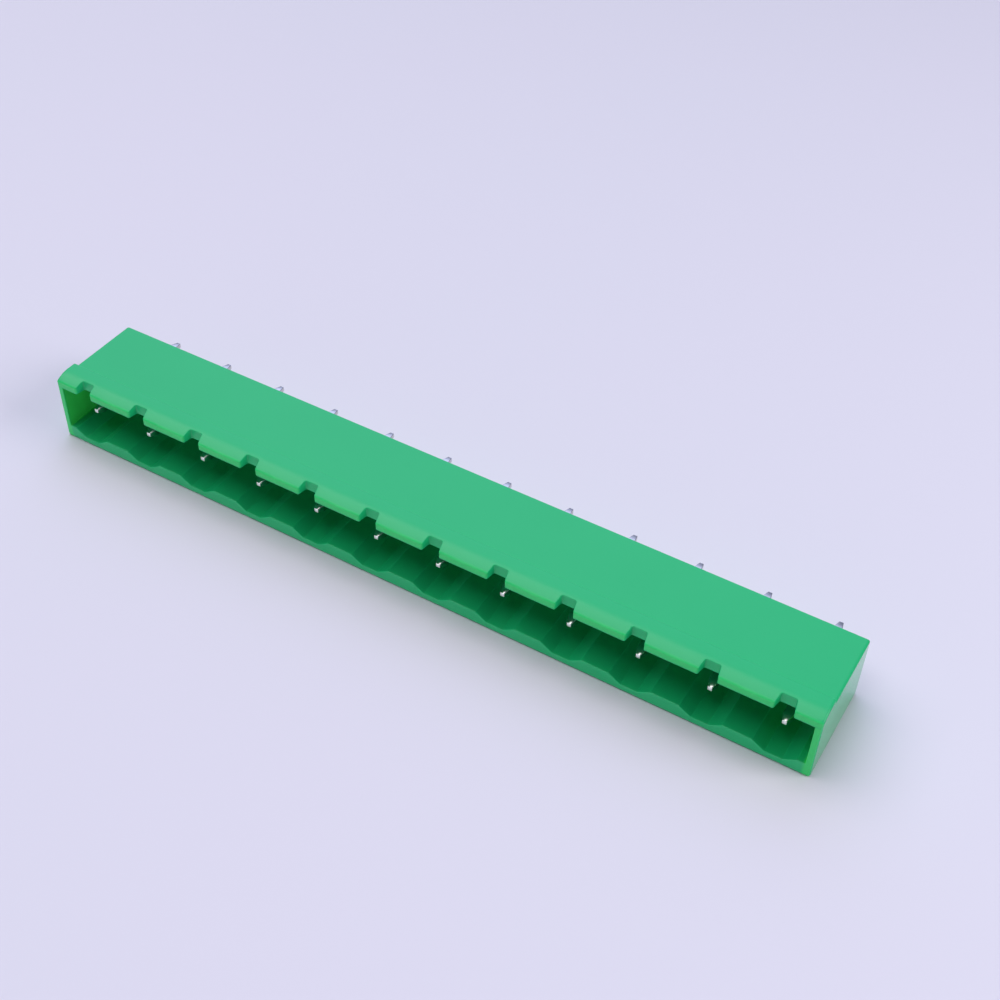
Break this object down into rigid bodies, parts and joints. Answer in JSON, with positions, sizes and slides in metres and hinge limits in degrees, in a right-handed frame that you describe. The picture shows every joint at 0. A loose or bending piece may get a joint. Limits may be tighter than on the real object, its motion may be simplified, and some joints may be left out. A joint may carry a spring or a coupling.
{
  "type": "pluggable terminal block header",
  "caption": "Straight board header for a pluggable terminal block: a long moulded shroud with an open mouth, a latching ridge and a row of square pins with solder tails.",
  "frame": {"origin": "middle of the part's length and of its depth from mouth to solder tips, on the outer face of the plain wall that it lies on", "axes": "+X along the row from contact 1 to the last contact, +Y from the mouth to the board face and out along the solder tails, +Z from the plain wall to the wall with the latching ridge"},
  "size_m": [0.0914, 0.016, 0.0085],
  "materials": {
    "moulded_plastic": "semi-gloss green moulding",
    "pin_metal": "bright tin plate over copper alloy"
  },
  "bodies": {
    "root": {"housing": "moulded_plastic", "pin_01": "pin_metal", "pin_02": "pin_metal", "pin_03": "pin_metal", "pin_04": "pin_metal", "pin_05": "pin_metal", "pin_06": "pin_metal", "pin_07": "pin_metal", "pin_08": "pin_metal", "pin_09": "pin_metal", "pin_10": "pin_metal", "pin_11": "pin_metal", "pin_12": "pin_metal"}
  },
  "joints": []
}
